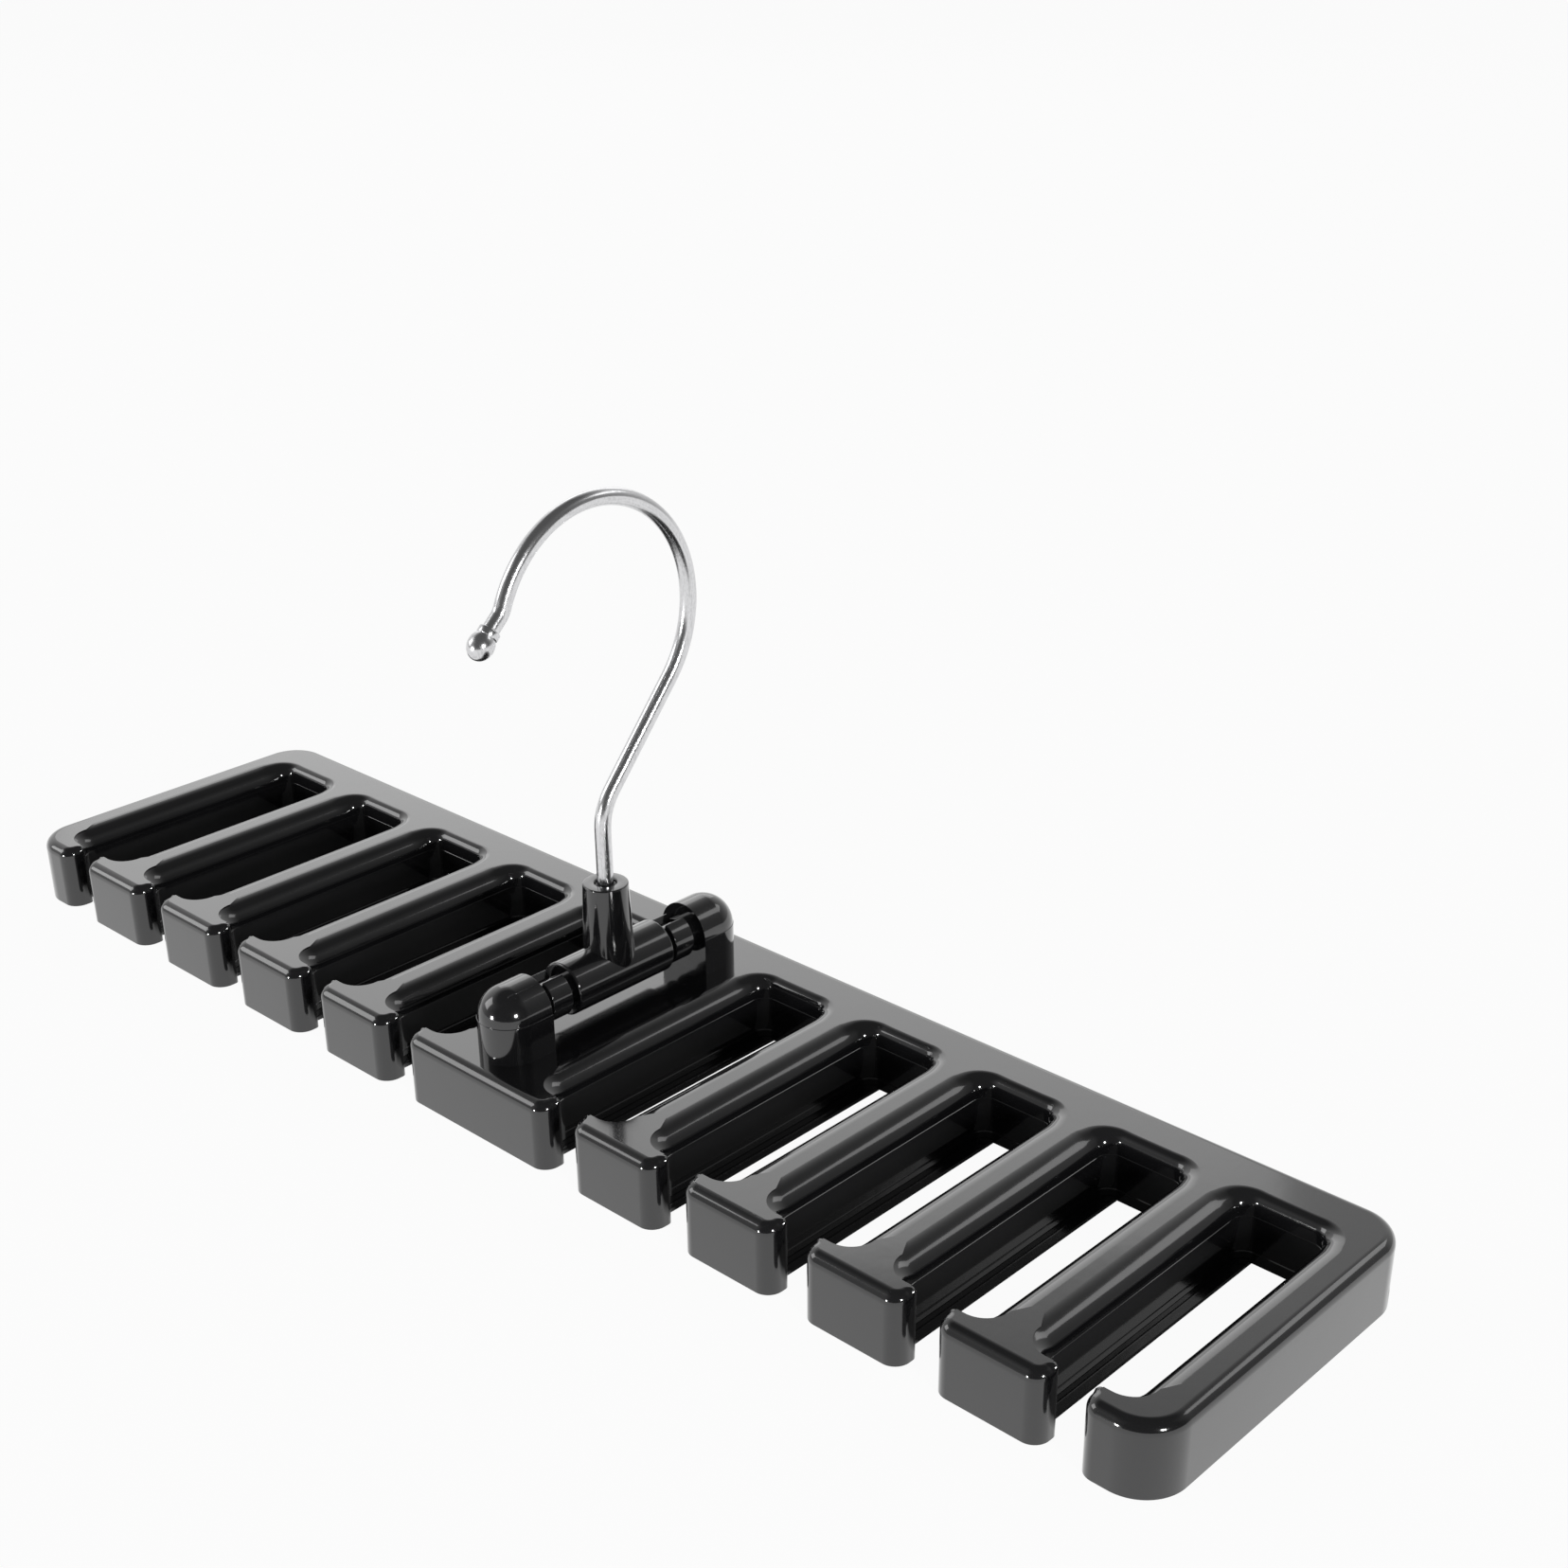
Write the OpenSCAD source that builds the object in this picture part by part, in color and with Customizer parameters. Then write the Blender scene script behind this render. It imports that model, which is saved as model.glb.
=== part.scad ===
// Tie hanger: a comb-shaped moulded rack with a swivelling, tilting wire hook.
// Millimetres. X runs along the rack, the slots open towards -Y, Z is up,
// and the origin is the middle of the underside.

/* [Rack] */
// Number of slots on each side of the middle tooth
slots_per_side = 5; // [1:1:8]
// Width of a slot, wall to wall
slot_width = 17.6; // [15:0.1:24]
// Length of a slot, from the back of the heads to the spine
slot_length = 61.4; // [40:0.2:90]
// Width of the mouth that lets a tie into a slot
mouth_width = 7.4; // [5:0.1:9]
// Width of an ordinary tooth below its rounded top
tooth_width = 12.4; // [10:0.1:18]
// Width of the flat crest on top of an ordinary tooth
crest_width = 2.4; // [1.6:0.1:4]
// Width of the middle tooth, which carries the hinge
centre_tooth_width = 32; // [28:0.2:44]
// Width of the two end teeth
end_tooth_width = 10.4; // [9:0.1:16]
// Depth of the heads, from the front face to the slots
head_depth = 5.5; // [4.5:0.1:9]
// Width of the spine behind the slots
spine_width = 11.4; // [9:0.1:20]
// Height of the rack
rack_height = 14.8; // [12.6:0.1:20]
// Plan radius of the four outer corners
outer_corner_r = 9; // [6:0.1:9]
// Rounding along the outer top edge
edge_r = 2.4; // [1:0.1:3]
// Rounding of the heads' upright edges beside each mouth
mouth_edge_r = 3.3; // [1:0.1:4]
// Plan radius of a slot's corners behind the heads
slot_front_r = 5.1; // [3:0.1:5.1]
// Plan radius of a slot's corners at the spine
slot_back_r = 3; // [1.5:0.1:5]
// Plan radius of the shoulder where a head runs into its tooth
shoulder_r = 5.3; // [3:0.1:6]

/* [Walls and cover] */
// Thickness of the shell's side walls
wall_t = 1.8; // [1.2:0.1:2.4]
// Thickness of the shell's roof
roof_t = 2.6; // [2:0.1:3.4]
// Thickness of the bottom cover
cover_t = 0.8; // [0.6:0.1:1.6]
// Height of the raised middle of the cover, which locates it in the shell
cover_pad_h = 1.4; // [0.8:0.1:3]
// Width of the cover's ledge along both sides of each slot
ledge_width = 2.65; // [1:0.05:3.2]
// Gap between the cover and the shell round it
cover_gap = 0.1; // [0.05:0.01:0.2]

/* [Hinge] */
// Height of the hinge axis above the rack's top
hinge_height = 8.2; // [7.6:0.1:12]
// Distance of the hinge's middle from the rack's middle, towards the spine
hinge_y = -1.2; // [-3:0.1:3]
// Radius of the barrel
barrel_r = 5.7; // [5.2:0.1:6.4]
// Length of the barrel
barrel_length = 26.2; // [20:0.2:28]
// Radius of the barrel's stub axles
axle_r = 3.2; // [2.5:0.05:3.4]
// Running clearance round the stub axles
axle_gap = 0.05; // [0.02:0.01:0.1]
// How far a stub axle reaches into its post
axle_reach = 6; // [4:0.1:6.5]
// Clear distance between the two posts
post_spacing = 42.1; // [40:0.1:46]
// Length of a post, from its inner face to its round outer end
post_length = 12.55; // [12:0.05:14]
// Half of a post's width, and the radius of its dome
post_r = 6.6; // [5.5:0.1:7]
// Radius of the peg under a post
peg_r = 3; // [2.4:0.1:3.4]
// Clearance round the peg
peg_gap = 0.05; // [0.02:0.01:0.1]
// Radius of a split bush's collar
bush_r = 5; // [4.6:0.05:5.4]
// Length of a split bush's collar
bush_length = 5.7; // [4:0.1:6]
// Radius of the bush's hub, which plugs into the post
hub_r = 4.2; // [3.9:0.05:4.4]
// Clearance round the hub
hub_gap = 0.02; // [0.01:0.01:0.05]
// How far the hub plugs into the post
hub_reach = 1.5; // [1:0.1:2.5]
// Gap between a bush's collar and its post
collar_gap = 0.9; // [0.3:0.1:1.2]
// Width of the split along a bush's collar
split_width = 3.6; // [2:0.1:4]
// How far the split is turned away from the top, in degrees
split_turn = -18; // [-40:1:40]

/* [Post screws] */
// Radius of a post screw's shank
screw_r = 1.4; // [1:0.05:1.6]
// Length of a post screw under its head
screw_length = 9; // [7:0.1:10]
// Radius of a post screw's head
screw_head_r = 3.4; // [3.2:0.1:4.4]
// Height of a post screw's head
screw_head_h = 1.6; // [1.2:0.1:2.2]

/* [Boss and swivel] */
// Height of the boss's top above the hinge axis
boss_height = 19.4; // [16:0.1:26]
// Radius of the boss at the hinge axis
boss_base_r = 5.45; // [5.3:0.05:5.6]
// Radius of the boss at its top
boss_top_r = 4.67; // [4.2:0.01:5.2]
// Radius of the pocket that the wire's head sits in
pocket_r = 3.2; // [3.1:0.05:3.6]
// Height of the pocket's shoulder above the hinge axis
pocket_height = 5.5; // [4.5:0.1:8]
// Running clearance round the wire in the boss
swivel_gap = 0.05; // [0.02:0.01:0.1]
// Radius of the countersink where the wire leaves the boss
mouth_ring_r = 2.3; // [2:0.05:2.8]
// Depth of the countersink where the wire leaves the boss
mouth_ring_depth = 0.8; // [0.4:0.1:2]
// Thickness of the washer under the boss's shoulder
washer_t = 0.8; // [0.5:0.1:1.2]
// Height of the wire's upset head
wire_head_h = 1.5; // [1:0.1:2.5]
// Radius of the wire's upset head
wire_head_r = 3; // [2.6:0.05:3]

/* [Hook] */
// Radius of the hook's wire
wire_r = 1.7; // [1.4:0.05:1.9]
// Radius of the loop's centre line
loop_r = 24.5; // [18:0.1:32]
// Height of the loop's centre above the underside
loop_z = 97; // [92:0.2:120]
// Distance of the loop's centre from the shank's axis
loop_y = 1.05; // [-3:0.05:4]
// Height where the straight shank ends
shank_top_z = 54; // [48:0.2:58]
// Radius of the bend above the shank
shank_bend_r = 12; // [8:0.1:16]
// Angle from +Y at which the loop ends
loop_end = 158; // [150:1:176]
// Radius of the bend before the tip
tip_bend_r = 5; // [3:0.1:8]
// How far the tip turns outwards, in degrees
tip_flare = 25; // [10:1:40]
// Length of straight wire between the last bend and the cap
tip_straight = 2.6; // [1:0.1:6]
// Radius of the round cap on the tip
cap_r = 2.6; // [2.4:0.05:3.4]
// Length of the cap
cap_length = 6.4; // [5.8:0.1:8]
// Radius of the cap's collar
cap_collar_r = 2.15; // [2.05:0.05:2.3]
// How far the wire reaches into the cap
cap_reach = 3; // [2:0.1:3.6]
// Clearance round the wire in the cap
cap_gap = 0.02; // [0.01:0.01:0.04]

/* [Hidden] */
$fn = 72;
plastic = [0.07, 0.07, 0.075];
chrome = [0.78, 0.79, 0.8];
steel = [0.55, 0.56, 0.58];
// How far a cutting shape runs past the face that it opens
past = 1;
half_turn = 180;

// The rack's outline and its slots
slot_pitch = slot_width + tooth_width;
first_slot = (centre_tooth_width + slot_width) / 2;
last_slot = first_slot + (slots_per_side - 1) * slot_pitch;
slot_centres = [for (side = [-1, 1], n = [0 : slots_per_side - 1]) side * (first_slot + n * slot_pitch)];
rack_half = last_slot + slot_width / 2 + end_tooth_width;
rack_depth = head_depth + slot_length + spine_width;
front_y = -rack_depth / 2;
back_y = rack_depth / 2;
slot_front = front_y + head_depth;
slot_back = slot_front + slot_length;
crest_edge_r = (tooth_width - crest_width) / 2;
// The shoulder lies a little forward of the slot's corner and stops short of the crest
shoulder_front = slot_front - 0.5;
shoulder_half = slot_width / 2 + crest_edge_r - 1.9;

// The hinge, measured from its middle
hinge_z = rack_height + hinge_height;
post_inner = post_spacing / 2;
post_dome = post_inner + post_length - post_r;
collar_outer = post_inner - collar_gap;
collar_inner = collar_outer - bush_length;
axle_bore_r = axle_r + axle_gap;
axle_end = post_inner + axle_reach;
axle_end_gap = 0.5;
peg_y = post_inner + post_length - peg_r - 1;
peg_end_gap = 0.1;
roof_under = rack_height - roof_t;
screw_gap = 0.02;
recess_depth = 0.8;
recess_width = 0.9;
barrel_chamfer = 0.4;

// The swivel, in heights above the underside
pocket_top = hinge_z + pocket_height;
washer_under = pocket_top - washer_t;
head_clearance = 0.05;
wire_head_top = washer_under - head_clearance;
washer_gap = 0.1;

// The hook's centre line, as distance from the shank's axis and height
bend_reach = shank_bend_r - loop_y;
bend_rise = loop_z - shank_top_z;
lean = asin((loop_r + shank_bend_r) / norm([bend_reach, bend_rise])) - atan2(bend_reach, bend_rise);
function on_circle(centre, r, angle) = centre + r * [cos(angle), sin(angle)];
loop_centre = [loop_y, loop_z];
bend_centre = [shank_bend_r, shank_top_z];
bend_end = on_circle(bend_centre, shank_bend_r, half_turn - lean);
loop_start = on_circle(loop_centre, loop_r, -lean);
loop_stop = on_circle(loop_centre, loop_r, loop_end);
tip_bend_centre = on_circle(loop_stop, tip_bend_r, loop_end);
tip_bend_end = on_circle(tip_bend_centre, tip_bend_r, loop_end + half_turn - tip_flare);
tip_heading = loop_end + 90 - tip_flare;
cap_mouth = on_circle(tip_bend_end, tip_straight, tip_heading);
// The cap's round ends, measured from its mouth
cap_near = cap_r + 0.4;
cap_far = cap_length - cap_r;
// The loop is made of two bends. Every second run is a hair thicker, and its neighbours lap into it
loop_middle = (loop_end - lean) / 2;
joint_lap = 0.1;
joint_swell = 0.02;
lap_turn = asin(joint_lap / loop_r);

// A plan outline centred on x = 0, with its own corner radius at each end
module plan(half, y0, y1, r0, r1) {
    translate([-half, y0 + r0]) square([2 * half, y1 - y0 - r0 - r1]);
    translate([r0 - half, y0]) square([2 * (half - r0), r0 + r1]);
    translate([r1 - half, y1 - r0 - r1]) square([2 * (half - r1), r0 + r1]);
    for (side = [-1, 1]) {
        translate([side * (half - r0), y0 + r0]) circle(r0);
        translate([side * (half - r1), y1 - r1]) circle(r1);
    }
}

// The rack's outline in plan, drawn in by an inset
module rack_plan(inset) {
    corner = outer_corner_r - inset;
    plan(rack_half - inset, front_y + inset, back_y - inset, corner, corner);
}

// The outline of a bar seen end on, with both top edges rounded
module bar_profile(half) {
    translate([-half, 0]) square([2 * half, rack_height - edge_r]);
    translate([edge_r - half, 0]) square([2 * (half - edge_r), rack_height]);
    for (side = [-1, 1]) translate([side * (half - edge_r), rack_height - edge_r]) circle(edge_r);
}

// The rack before its slots are cut: a slab with a rounded outer top edge
module slab() {
    intersection() {
        linear_extrude(rack_height) rack_plan(0);
        translate([0, back_y + past, 0]) rotate([90, 0, 0])
            linear_extrude(rack_depth + 2 * past) bar_profile(rack_half);
        translate([-rack_half - past, 0, 0]) rotate([90, 0, 90])
            linear_extrude(2 * (rack_half + past)) bar_profile(back_y);
    }
}

// A slot and its mouth, in plan
module slot_plan() {
    plan(slot_width / 2, slot_front, slot_back, slot_front_r, slot_back_r);
    translate([-mouth_width / 2, front_y - past]) square([mouth_width, head_depth + past + slot_front_r]);
    entry = mouth_width / 2 + mouth_edge_r;
    difference() {
        translate([-entry, front_y - past]) square([2 * entry, mouth_edge_r + past]);
        for (side = [-1, 1]) translate([side * entry, front_y + mouth_edge_r]) circle(mouth_edge_r);
    }
}

// What rounds the top edges of the teeth on both sides of a slot
module crest_rounding() {
    reach = slot_width / 2 + crest_edge_r;
    low = rack_height - crest_edge_r;
    intersection() {
        translate([0, slot_back, 0]) rotate([90, 0, 0]) linear_extrude(slot_length + past) difference() {
            translate([-reach, low]) square([2 * reach, crest_edge_r + past]);
            for (side = [-1, 1]) translate([side * reach, low]) circle(crest_edge_r);
        }
        linear_extrude(rack_height + 2 * past) {
            plan(shoulder_half, shoulder_front, slot_back, shoulder_r, slot_back_r);
            translate([-reach, shoulder_front + shoulder_r])
                square([2 * reach, slot_back - shoulder_front - shoulder_r - slot_back_r]);
        }
    }
}

// The hollow under the shell's roof, in plan, drawn in by a gap
module hollow_plan(gap) {
    inset = wall_t + gap;
    intersection() {
        rack_plan(inset);
        union() {
            translate([-rack_half, slot_back + inset]) square([2 * rack_half, spine_width]);
            translate([inset - centre_tooth_width / 2, front_y])
                square([centre_tooth_width - 2 * inset, rack_depth]);
            for (n = [0 : slots_per_side - 1], side = [-1, 1]) {
                wall = first_slot + n * slot_pitch + slot_width / 2 + inset;
                width = n < slots_per_side - 1 ? tooth_width - 2 * inset : end_tooth_width;
                translate([side > 0 ? wall : -wall - width, front_y]) square([width, rack_depth]);
            }
        }
    }
}

// The bottom cover's sheet in plan, with a gap to the shell round it
module cover_plan(gap) {
    opening = slot_width / 2 - ledge_width + gap;
    difference() {
        rack_plan(wall_t + gap);
        for (x = slot_centres) {
            translate([x - opening, front_y]) square([2 * opening, head_depth + slot_length + wall_t + gap]);
        }
    }
}

// Places a piece of the rear hinge end, or its mirror image for the front
module hinge_end(front) {
    translate([0, hinge_y, 0]) mirror([0, front ? 1 : 0, 0]) children();
}

// A round bar along Y at the height of the hinge axis
module axis_bar(y0, y1, r0, r1) {
    translate([0, y0, hinge_z]) rotate([-90, 0, 0]) cylinder(r1 = r0, r2 = r1, h = y1 - y0);
}

// The moulded shell: heads, teeth and spine, hollow from below
module rack_shell() {
    color(plastic) difference() {
        slab();
        for (x = slot_centres) translate([x, 0, 0]) {
            translate([0, 0, -past]) linear_extrude(rack_height + 2 * past) slot_plan();
            crest_rounding();
        }
        linear_extrude(roof_under) hollow_plan(0);
        translate([0, 0, -past]) linear_extrude(cover_t + past) cover_plan(0);
        for (front = [true, false]) hinge_end(front)
            translate([0, peg_y, 0]) cylinder(r = peg_r + peg_gap, h = rack_height + past);
    }
}

// The cover that closes the shell from below, with a ledge along each slot
module rack_base() {
    color(plastic) {
        linear_extrude(cover_t) cover_plan(cover_gap);
        linear_extrude(cover_t + cover_pad_h) hollow_plan(cover_gap);
    }
}

// A domed post with a blind bearing bore, a seat for its bush and a peg
module post(front) {
    color(plastic) hinge_end(front) difference() {
        union() {
            translate([-post_r, post_inner, rack_height]) cube([2 * post_r, post_dome - post_inner, hinge_height]);
            translate([0, post_dome, rack_height]) cylinder(r = post_r, h = hinge_height);
            axis_bar(post_inner, post_dome, post_r, post_r);
            translate([0, post_dome, hinge_z]) sphere(post_r);
            translate([0, peg_y, roof_under + peg_end_gap]) cylinder(r = peg_r, h = roof_t);
        }
        axis_bar(post_inner - past, axle_end + axle_end_gap, axle_bore_r, axle_bore_r);
        axis_bar(post_inner - past, post_inner + hub_reach + hub_gap, hub_r + hub_gap, hub_r + hub_gap);
        translate([0, peg_y, roof_under]) cylinder(r = screw_r + screw_gap, h = screw_length + axle_end_gap);
    }
}

module front_post() { post(true); }

module rear_post() { post(false); }

// A cross-recess screw that holds a post down from inside the shell
module post_screw(front) {
    color(steel) hinge_end(front) translate([0, peg_y, roof_under]) difference() {
        union() {
            translate([0, 0, -screw_head_h]) cylinder(r = screw_head_r, h = screw_head_h);
            cylinder(r = screw_r, h = screw_length);
        }
        for (turn = [0, 90]) rotate([0, 0, turn])
            translate([-screw_r, -recess_width / 2, -screw_head_h - past])
                cube([2 * screw_r, recess_width, recess_depth + past]);
    }
}

module front_post_screw() { post_screw(true); }

module rear_post_screw() { post_screw(false); }

// A split bush round a stub axle: a collar with a gap along it, and a hub
module bush(front) {
    color(plastic) hinge_end(front) difference() {
        union() {
            axis_bar(collar_inner, collar_outer, bush_r, bush_r);
            axis_bar(collar_outer, post_inner + hub_reach, hub_r, hub_r);
        }
        axis_bar(collar_inner - past, post_inner + hub_reach + past, axle_bore_r, axle_bore_r);
        translate([0, 0, hinge_z]) rotate([0, split_turn, 0])
            translate([-split_width / 2, collar_inner - past, 0])
                cube([split_width, bush_length + past, bush_r + past]);
    }
}

module front_bush() { bush(true); }

module rear_bush() { bush(false); }

// The barrel with its stub axles and the boss that holds the hook
module yoke() {
    end = barrel_length / 2;
    color(plastic) translate([0, hinge_y, 0]) difference() {
        union() {
            axis_bar(-axle_end, axle_end, axle_r, axle_r);
            axis_bar(barrel_chamfer - end, end - barrel_chamfer, barrel_r, barrel_r);
            axis_bar(end - barrel_chamfer, end, barrel_r, barrel_r - barrel_chamfer);
            axis_bar(-end, barrel_chamfer - end, barrel_r - barrel_chamfer, barrel_r);
            translate([0, 0, hinge_z]) cylinder(r1 = boss_base_r, r2 = boss_top_r, h = boss_height);
        }
        translate([0, 0, rack_height]) cylinder(r = pocket_r, h = pocket_top - rack_height);
        translate([0, 0, hinge_z]) cylinder(r = wire_r + swivel_gap, h = boss_height + past);
        translate([0, 0, hinge_z + boss_height - mouth_ring_depth])
            cylinder(r = mouth_ring_r, h = mouth_ring_depth + past);
    }
}

// The washer between the wire's head and the boss's shoulder
module swivel_washer() {
    color(steel) translate([0, hinge_y, washer_under]) difference() {
        cylinder(r = pocket_r - washer_gap, h = washer_t);
        translate([0, 0, -past]) cylinder(r = wire_r + washer_gap, h = washer_t + 2 * past);
    }
}

// Draws in the hook's own plane: x is the distance from the shank's axis, y the height
module in_hook_plane() {
    translate([0, hinge_y, 0]) rotate([90, 0, 90]) children();
}

// A round bar from a point, along a heading
module bar(from, heading, length, r) {
    translate([from[0], from[1], 0]) rotate([0, 0, heading]) rotate([0, 90, 0]) cylinder(r = r, h = length);
}

// A bend of the wire round a centre, between two angles
module bent_wire(centre, bend_r, from, to, r) {
    translate([centre[0], centre[1], 0]) rotate([0, 0, from])
        rotate_extrude(angle = to - from) translate([bend_r, 0]) circle(r);
}

// The hook: one wire with an upset head, a shank, two bends and the loop
module hook_wire() {
    thick_r = wire_r + joint_swell;
    shank_foot = wire_head_top - wire_head_h / 2;
    lean_start = on_circle(bend_end, -joint_lap, 90 - lean);
    tip_start = on_circle(tip_bend_end, -joint_lap, tip_heading);
    color(chrome) {
        translate([0, hinge_y, wire_head_top - wire_head_h]) cylinder(r = wire_head_r, h = wire_head_h);
        in_hook_plane() {
            bar([0, shank_foot], 90, shank_top_z - shank_foot + joint_lap, wire_r);
            bent_wire(bend_centre, shank_bend_r, half_turn - lean, half_turn, thick_r);
            bar(lean_start, 90 - lean, norm(loop_start - bend_end) + 2 * joint_lap, wire_r);
            bent_wire(loop_centre, loop_r, -lean, loop_middle, thick_r);
            bent_wire(loop_centre, loop_r, loop_middle - lap_turn, loop_end + lap_turn, wire_r);
            bent_wire(tip_bend_centre, tip_bend_r, loop_end + half_turn - tip_flare, loop_end + half_turn, thick_r);
            bar(tip_start, tip_heading, joint_lap + tip_straight + cap_reach, wire_r);
        }
    }
}

// Half of the cap's section: distance from its axis, and distance from its mouth
module cap_profile() {
    difference() {
        union() {
            square([cap_collar_r, cap_near]);
            translate([0, cap_near]) square([cap_r, cap_far - cap_near]);
            for (d = [cap_near, cap_far]) intersection() {
                translate([0, d]) circle(cap_r);
                square([cap_r, cap_length]);
            }
        }
        translate([0, -past]) square([wire_r + cap_gap, cap_reach + cap_gap + past]);
    }
}

// The round cap on the hook's tip
module hook_tip() {
    color(chrome) in_hook_plane() translate([cap_mouth[0], cap_mouth[1], 0])
        rotate([0, 0, tip_heading]) rotate([0, 90, 0]) rotate_extrude() cap_profile();
}

rack_shell();
rack_base();
front_post();
rear_post();
front_post_screw();
rear_post_screw();
front_bush();
rear_bush();
yoke();
swivel_washer();
hook_wire();
hook_tip();
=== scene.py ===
import math
import bpy
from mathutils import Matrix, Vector


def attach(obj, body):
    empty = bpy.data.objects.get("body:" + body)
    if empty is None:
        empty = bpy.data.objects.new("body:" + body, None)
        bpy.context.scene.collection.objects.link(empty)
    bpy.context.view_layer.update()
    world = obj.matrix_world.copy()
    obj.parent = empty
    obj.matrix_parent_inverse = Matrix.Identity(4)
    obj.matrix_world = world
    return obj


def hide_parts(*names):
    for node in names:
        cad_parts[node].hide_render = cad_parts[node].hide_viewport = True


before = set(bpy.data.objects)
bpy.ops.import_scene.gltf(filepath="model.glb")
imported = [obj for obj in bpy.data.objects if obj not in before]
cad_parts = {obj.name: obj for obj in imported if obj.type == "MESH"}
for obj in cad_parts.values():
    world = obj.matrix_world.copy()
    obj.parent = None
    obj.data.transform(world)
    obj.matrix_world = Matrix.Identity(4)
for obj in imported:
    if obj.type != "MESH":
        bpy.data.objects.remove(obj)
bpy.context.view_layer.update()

mm = 0.001
# two places closer than this, in metres, are the same place
tiny = 0.00001


# Helpers for work in edit mode

def startPiece():
    bpy.ops.object.select_all(action='DESELECT')


def takePiece(name):
    piece = bpy.context.object
    piece.name = name
    piece.data.name = name
    return piece


def selectVerts(piece, test):
    # points are picked by place, so the mesh is left for object mode and entered again
    bpy.ops.mesh.select_mode(type='VERT')
    bpy.ops.mesh.select_all(action='DESELECT')
    bpy.ops.object.mode_set(mode='OBJECT')
    picked = 0
    for vert in piece.data.vertices:
        if test(piece.matrix_world @ vert.co):
            vert.select = True
            picked += 1
    bpy.ops.object.mode_set(mode='EDIT')
    return picked


def pushEdges(offset):
    bpy.ops.mesh.extrude_region_move(TRANSFORM_OT_translate={"value": offset})


def applyAll(piece):
    startPiece()
    piece.select_set(True)
    bpy.context.view_layer.objects.active = piece
    for modifier in list(piece.modifiers):
        bpy.ops.object.modifier_apply(modifier=modifier.name)
    bpy.ops.object.transform_apply(location=True, rotation=True, scale=True)


def closeUp(piece, distance=0.000002):
    # doubles go first, and then every face is turned outwards
    bpy.context.view_layer.objects.active = piece
    bpy.ops.object.mode_set(mode='EDIT')
    bpy.ops.mesh.select_all(action='SELECT')
    bpy.ops.mesh.remove_doubles(threshold=distance)
    bpy.ops.mesh.normals_make_consistent(inside=False)
    bpy.ops.object.mode_set(mode='OBJECT')


def softenEdges(piece, width, segments, angle=50):
    bevel = piece.modifiers.new("softEdges", 'BEVEL')
    bevel.width = width
    bevel.segments = segments
    bevel.limit_method = 'ANGLE'
    bevel.angle_limit = math.radians(angle)
    bevel.use_clamp_overlap = True


def roundBar(name, points, radius, length, centre, turn, edge, segments):
    # a cylinder with soft ends; its centre is in metres, the rest in millimetres
    startPiece()
    bpy.ops.mesh.primitive_cylinder_add(vertices=points, radius=radius * mm, depth=length * mm,
                                        location=centre, rotation=turn)
    piece = takePiece(name)
    softenEdges(piece, edge * mm, segments)
    applyAll(piece)
    return piece


def joinPieces(main, others):
    startPiece()
    for other in others:
        other.select_set(True)
    main.select_set(True)
    bpy.context.view_layer.objects.active = main
    bpy.ops.object.join()


def finishPiece(piece, body, material, nodes, angle=32):
    applyAll(piece)
    bpy.ops.object.shade_smooth_by_angle(angle=math.radians(angle))
    evenShading = piece.modifiers.new("evenShading", 'WEIGHTED_NORMAL')
    evenShading.keep_sharp = True
    evenShading.weight = 60
    bpy.ops.object.modifier_apply(modifier=evenShading.name)
    piece.data.materials.clear()
    piece.data.materials.append(material)
    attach(piece, body)
    if nodes:
        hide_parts(*nodes)
    print("finished", piece.name, len(piece.data.polygons), "faces")


# Camera, at the place that the photograph was taken from

camera = {
    "place": (0.30781, -0.27305, 0.24259),
    "turn": (62.635, 0.094, 42.488),
    "lens": 51.626,
    "shift": (-0.0219, 0.0936),
}

startPiece()
bpy.ops.object.camera_add(location=camera["place"], rotation=[math.radians(a) for a in camera["turn"]])
shot = bpy.context.object
shot.name = "shotCamera"
shot.data.lens = camera["lens"]
shot.data.sensor_width = 36
shot.data.shift_x = camera["shift"][0]
shot.data.shift_y = camera["shift"][1]
shot.data.clip_start = 0.01
shot.data.clip_end = 50
bpy.context.scene.camera = shot
bpy.context.scene.view_settings.view_transform = 'Standard'
print("camera is set")


# Shader maths

class Knob:
    # a socket, or a plain number, that adds a Math node when it is used in a sum
    def __init__(self, paint, socket):
        self.paint = paint
        self.socket = socket

    def calc(self, operation, first, second=None):
        values = {0: first} if second is None else {0: first, 1: second}
        return self.paint.node('ShaderNodeMath', {"operation": operation}, values, 0)

    def __add__(self, other):
        return self.calc('ADD', self, other)

    def __radd__(self, other):
        return self.calc('ADD', other, self)

    def __sub__(self, other):
        return self.calc('SUBTRACT', self, other)

    def __rsub__(self, other):
        return self.calc('SUBTRACT', other, self)

    def __mul__(self, other):
        return self.calc('MULTIPLY', self, other)

    def __rmul__(self, other):
        return self.calc('MULTIPLY', other, self)

    def __pow__(self, other):
        return self.calc('POWER', self, other)

    def clamp(self):
        return self.paint.node('ShaderNodeClamp', {}, {"Value": self}, 0)

    def atLeast(self, other):
        return self.calc('MAXIMUM', self, other)

    def size(self):
        return self.calc('ABSOLUTE', self)

    def over(self, edge):
        return self.calc('GREATER_THAN', self, edge)


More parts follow.
